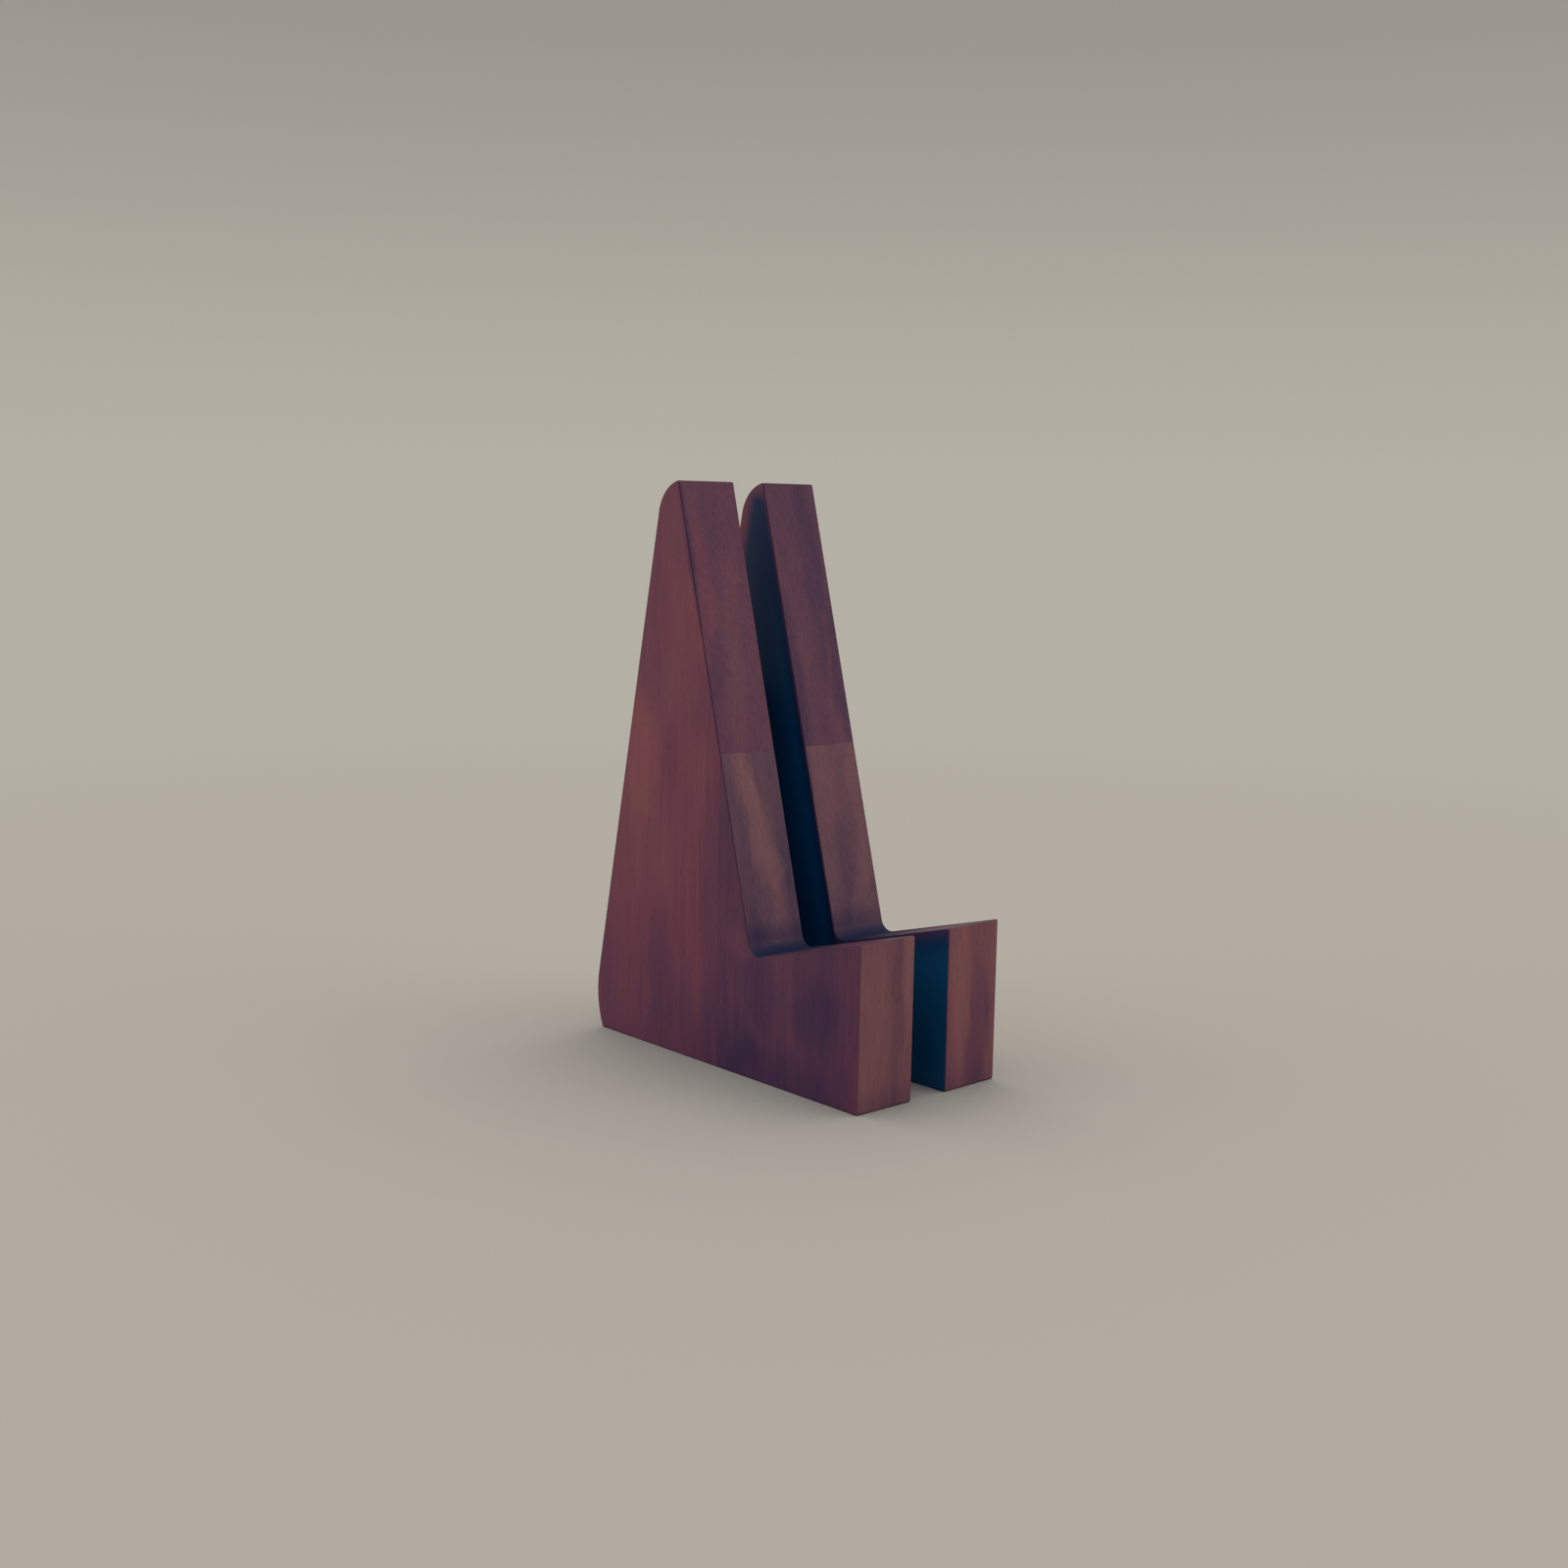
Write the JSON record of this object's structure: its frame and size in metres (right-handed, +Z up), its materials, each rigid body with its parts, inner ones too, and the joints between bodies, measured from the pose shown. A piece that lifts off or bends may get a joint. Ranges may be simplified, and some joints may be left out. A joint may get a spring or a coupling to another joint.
{
  "type": "book stand",
  "caption": "Free-standing hardwood book stand: profiled side plates with a slot between them, each with a sloping ledge and a backrest square to it.",
  "frame": {"origin": "middle of the base's bounding rectangle, on the surface that the stand rests on", "axes": "+Z up, +Y from the foot's front to the heel so the ledges and backrests face -Y, +X to the right for someone who faces the backrests; X = 0 is the mirror plane in the middle of the slot"},
  "size_m": [0.0826, 0.1774, 0.2539],
  "materials": {
    "mahogany_front": "satin oil over planed and sanded red-brown hardwood, upright grain",
    "mahogany_rear": "satin oil over planed and sanded red-brown hardwood, upright ribbon grain, a little redder than the front staves",
    "mahogany_spine": "sawn and lightly sanded red-brown hardwood, in shade",
    "beech_dowel": "turned beech, unfinished, hidden"
  },
  "bodies": {
    "root": {"left_front_stave": "mahogany_front", "left_rear_stave": "mahogany_rear", "right_front_stave": "mahogany_front", "right_rear_stave": "mahogany_rear", "spine": "mahogany_spine", "lower_dowel": "beech_dowel", "middle_dowel": "beech_dowel", "upper_dowel": "beech_dowel"}
  },
  "joints": []
}
